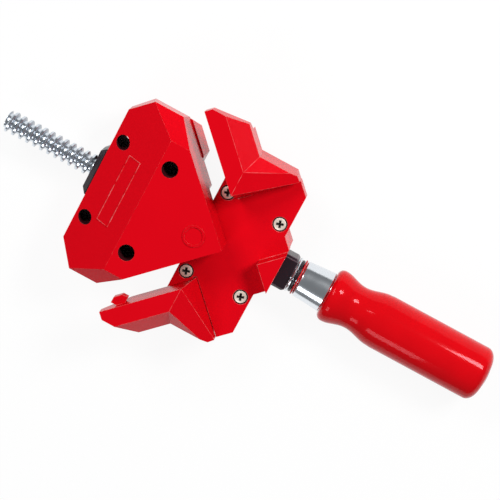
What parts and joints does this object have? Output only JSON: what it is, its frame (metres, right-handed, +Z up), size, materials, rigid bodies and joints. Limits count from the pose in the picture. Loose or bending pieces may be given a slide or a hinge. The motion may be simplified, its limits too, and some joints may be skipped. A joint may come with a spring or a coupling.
{
  "type": "corner clamp",
  "caption": "Right-angle corner clamp with two fixed arms and a triangular screw-driven swivel jaw, red castings, zinc screw, chrome ferrule and a turned red handle.",
  "frame": {"origin": "on the bench, below the point where the clamping faces of the two arms would meet", "axes": "+X along the screw towards the handle, +Z up from the bench, +Y to the far arm"},
  "size_m": [0.307, 0.1346, 0.0506],
  "materials": {
    "red_paint": "glossy red enamel on die castings",
    "red_lacquer": "turned wood under glossy red lacquer",
    "zinc": "bright zinc plate",
    "chrome": "polished chrome",
    "black": "satin black oxide and paint",
    "nickel": "dull nickel-plated steel",
    "red_fibre": "matt red fibre"
  },
  "bodies": {
    "frame": {"frame_casting": "red_paint", "cover_plate": "red_paint", "cover_screw_1": "nickel", "cover_screw_2": "nickel", "cover_screw_3": "nickel", "cover_screw_4": "nickel"},
    "bearing": {"bearing_block": "black"},
    "screw": {"spindle": "zinc", "shoulder_washer": "nickel", "thrust_washer": "chrome", "spacer_washer": "black", "fibre_ring": "red_fibre", "ferrule": "chrome", "ferrule_pin": "nickel", "handle": "red_lacquer"},
    "nut": {"swivel_nut": "black"},
    "jaw": {"jaw_casting": "red_paint", "jaw_base": "red_paint", "jaw_screw_1": "nickel", "jaw_screw_2": "nickel", "jaw_screw_3": "nickel", "jaw_screw_4": "nickel"}
  },
  "joints": [
    {"name": "screw_swing", "type": "hinge", "parent": "frame", "child": "bearing", "pos_m": [0.0071, 0, 0.017], "axis": [0, 0, 1], "range_deg": [-4, 4]},
    {"name": "screw_turn", "type": "hinge", "parent": "bearing", "child": "screw", "pos_m": [0.0071, 0, 0.017], "axis": [1, 0, 0], "range_deg": [-360, 3720]},
    {"name": "jaw_slide", "type": "slide", "parent": "bearing", "child": "nut", "axis": [1, 0, 0], "range_m": [-0.046, 0.004]},
    {"name": "jaw_swivel", "type": "hinge", "parent": "nut", "child": "jaw", "pos_m": [-0.0931, 0, 0.017], "axis": [0, 0, 1], "range_deg": [-4, 4]}
  ],
  "couplings": [
    {"joint": "screw_turn", "follows": "jaw_slide", "rad_per_m": -1396.3},
    {"joint": "jaw_swivel", "follows": "screw_swing", "ratio": -1}
  ]
}
